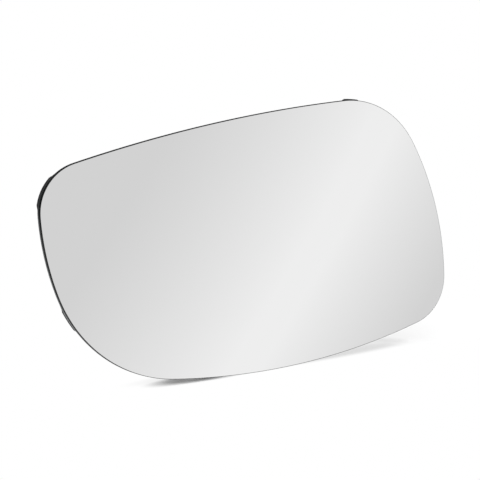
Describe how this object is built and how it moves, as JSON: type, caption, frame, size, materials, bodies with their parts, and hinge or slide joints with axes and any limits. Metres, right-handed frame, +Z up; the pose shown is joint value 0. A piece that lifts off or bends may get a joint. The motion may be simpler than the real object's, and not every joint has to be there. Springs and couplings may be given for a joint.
{
  "type": "car door mirror glass",
  "caption": "Convex mirror pane with four arched sides and a cut-away outer corner, bonded by foam to a ribbed plastic plate that snaps onto the mirror's drive.",
  "frame": {"origin": "on the axis of the convex face, where the straight wall of the plate's seat ring ends at its lead-in", "axes": "+Z up as fitted, +X towards the car, +Y backwards out of the seat; the mirror looks along -Y"},
  "size_m": [0.1783, 0.017, 0.1019],
  "materials": {
    "mirror_glass": "polished silvered glass with a dark ground edge",
    "adhesive_pad": "matt closed-cell foam",
    "backing_plate": "black moulded plastic with a fine spark-eroded grain"
  },
  "bodies": {
    "root": {"mirror_glass": "mirror_glass", "adhesive_pad": "adhesive_pad", "backing_plate": "backing_plate"}
  },
  "joints": []
}
